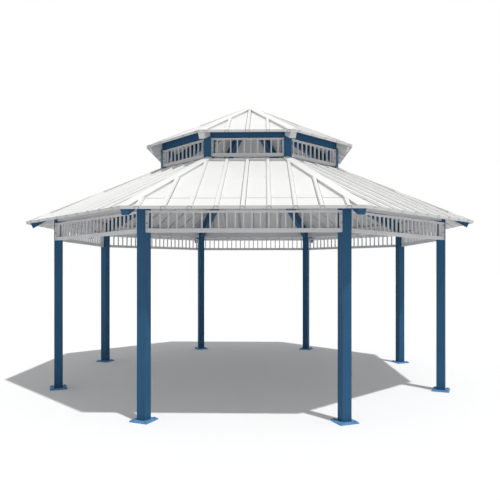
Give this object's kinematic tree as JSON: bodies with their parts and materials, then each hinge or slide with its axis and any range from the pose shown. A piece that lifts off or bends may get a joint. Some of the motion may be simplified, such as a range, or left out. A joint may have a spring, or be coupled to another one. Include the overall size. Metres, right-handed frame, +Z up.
{
  "type": "octagonal steel gazebo",
  "caption": "Open eight-sided steel pavilion on square columns with picket friezes, a ribbed hip roof and a raised cupola under a second ribbed roof.",
  "frame": {"origin": "centre of the plan, on the floor under the base plates", "axes": "+Z up through the roof apex, +X to the right, -Y out of the front bay"},
  "size_m": [6.876, 6.876, 4.819],
  "materials": {
    "plate_blue": "satin",
    "frame_blue": "satin",
    "frieze_grey": "satin",
    "roof_sheet": "satin",
    "flashing": "satin"
  },
  "bodies": {
    "root": {"base_plates": "plate_blue", "columns": "frame_blue", "hip_rafters": "frame_blue", "lower_rafter_tails": "frame_blue", "upper_hip_rafters": "frame_blue", "apex_hub": "frame_blue", "cupola_posts": "frame_blue", "ring_beams": "frame_blue", "cupola_tie_beams": "frame_blue", "eave_beams": "frieze_grey", "upper_rafter_tails": "frieze_grey", "cupola_friezes": "frieze_grey", "frieze_panel_1": "frieze_grey", "frieze_panel_2": "frieze_grey", "frieze_panel_3": "frieze_grey", "frieze_panel_4": "frieze_grey", "frieze_panel_5": "frieze_grey", "frieze_panel_6": "frieze_grey", "frieze_panel_7": "frieze_grey", "frieze_panel_8": "frieze_grey", "lower_roof_panel_1": "roof_sheet", "lower_roof_panel_2": "roof_sheet", "lower_roof_panel_3": "roof_sheet", "lower_roof_panel_4": "roof_sheet", "lower_roof_panel_5": "roof_sheet", "lower_roof_panel_6": "roof_sheet", "lower_roof_panel_7": "roof_sheet", "lower_roof_panel_8": "roof_sheet", "upper_roof_panel_1": "roof_sheet", "upper_roof_panel_2": "roof_sheet", "upper_roof_panel_3": "roof_sheet", "upper_roof_panel_4": "roof_sheet", "upper_roof_panel_5": "roof_sheet", "upper_roof_panel_6": "roof_sheet", "upper_roof_panel_7": "roof_sheet", "upper_roof_panel_8": "roof_sheet", "lower_eave_trims": "flashing", "upper_eave_trims": "flashing", "head_closures": "flashing", "lower_hip_caps": "flashing", "upper_hip_caps": "flashing", "apex_cap": "flashing"}
  },
  "joints": []
}
